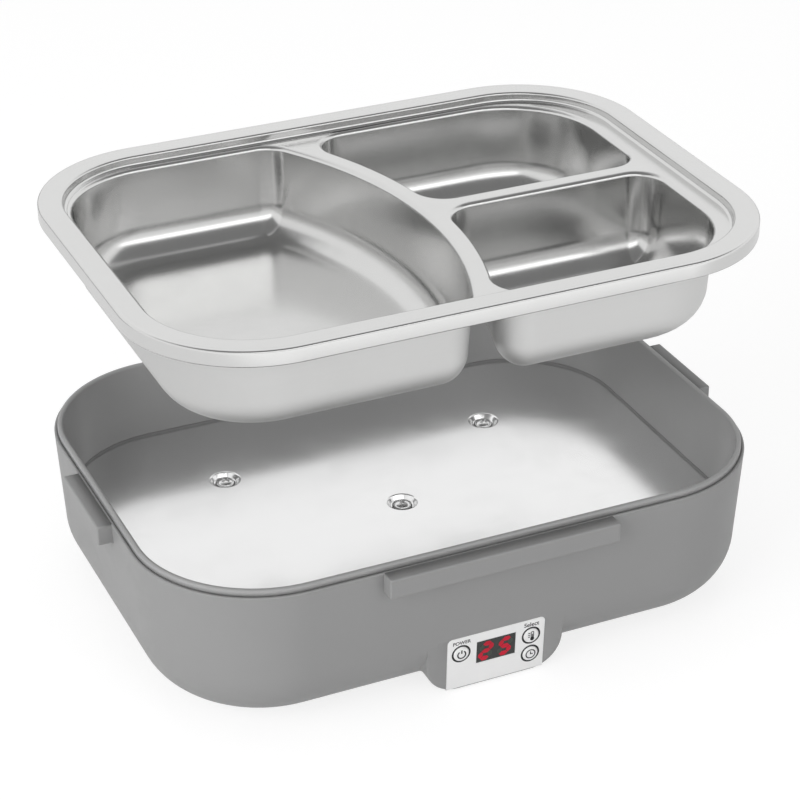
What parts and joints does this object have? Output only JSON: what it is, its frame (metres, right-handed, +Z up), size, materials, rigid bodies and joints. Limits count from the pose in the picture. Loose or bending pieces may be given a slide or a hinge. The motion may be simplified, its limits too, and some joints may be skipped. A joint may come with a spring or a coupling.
{
  "type": "electric lunch box",
  "caption": "Heated plastic base with a digital control panel, a rear power inlet and a lift-out stainless food tray with compartments.",
  "frame": {"origin": "centre of the footprint on the surface that the feet stand on", "axes": "+Z up, +X along the long side, -Y towards the user: the side with the control panel"},
  "size_m": [0.2582, 0.1942, 0.1589],
  "materials": {
    "shell_plastic": "satin moulded grey",
    "collar_plastic": "satin moulded grey",
    "silicone": "matte",
    "pan_steel": "satin",
    "tray_steel": "polished",
    "screw_steel": "bright",
    "sheet_steel": "galvanised",
    "aluminium": "satin",
    "glass_wool": "woven",
    "fuse_ceramic": "glazed",
    "black_plastic": "satin",
    "foot_rubber": "matte",
    "pin_brass": "plated",
    "circuit_board": "solder mask",
    "transformer_tape": "tape",
    "capacitor_sleeve": "sleeve",
    "terminal_green": "moulded",
    "window_plastic": "dark tinted",
    "faceplate_silver": "silver print",
    "button_silver": "silver print",
    "mains_sleeve": "PVC",
    "heater_sleeve": "braided glass sleeve",
    "cable_sleeve": "PVC"
  },
  "bodies": {
    "base": {"outer_shell": "shell_plastic", "inner_collar": "collar_plastic", "pan_gasket": "silicone", "heating_pan": "pan_steel", "pan_screws": "screw_steel", "screw_washers": "silicone", "heater_plate": "aluminium", "ptc_heaters": "aluminium", "heater_bracket": "sheet_steel", "bracket_nuts": "screw_steel", "insulation_pad": "glass_wool", "heat_shield": "sheet_steel", "thermal_fuse": "fuse_ceramic", "temperature_sensor": "black_plastic", "bottom_cover": "shell_plastic", "cover_screws": "screw_steel", "rubber_feet": "foot_rubber", "power_inlet": "black_plastic", "inlet_pins": "pin_brass", "power_board": "circuit_board", "transformer": "transformer_tape", "capacitor": "capacitor_sleeve", "relay": "black_plastic", "terminal_block": "terminal_green", "control_board": "circuit_board", "board_screws": "screw_steel", "control_chip": "black_plastic", "display_module": "black_plastic", "display_window": "window_plastic", "faceplate": "faceplate_silver", "tact_switches": "black_plastic", "mains_wires": "mains_sleeve", "heater_wires": "heater_sleeve", "panel_cable": "cable_sleeve"},
    "tray": {"food_tray": "tray_steel"},
    "power_key": {"power_button": "button_silver"},
    "temperature_key": {"temperature_button": "button_silver"},
    "timer_key": {"timer_button": "button_silver"}
  },
  "joints": [
    {"name": "tray_lift", "type": "slide", "parent": "base", "child": "tray", "axis": [0, 0, 1], "range_m": [-0.0868, 0.03]},
    {"name": "power_press", "type": "slide", "parent": "base", "child": "power_key", "axis": [0, 0.9984, 0.0558], "range_m": [0, 0.0005], "stiffness_N_per_m": 1500, "springref_m": -0.0005},
    {"name": "temperature_press", "type": "slide", "parent": "base", "child": "temperature_key", "axis": [0, 0.9984, 0.0558], "range_m": [0, 0.0005], "stiffness_N_per_m": 1500, "springref_m": -0.0005},
    {"name": "timer_press", "type": "slide", "parent": "base", "child": "timer_key", "axis": [0, 0.9984, 0.0558], "range_m": [0, 0.0005], "stiffness_N_per_m": 1500, "springref_m": -0.0005}
  ]
}
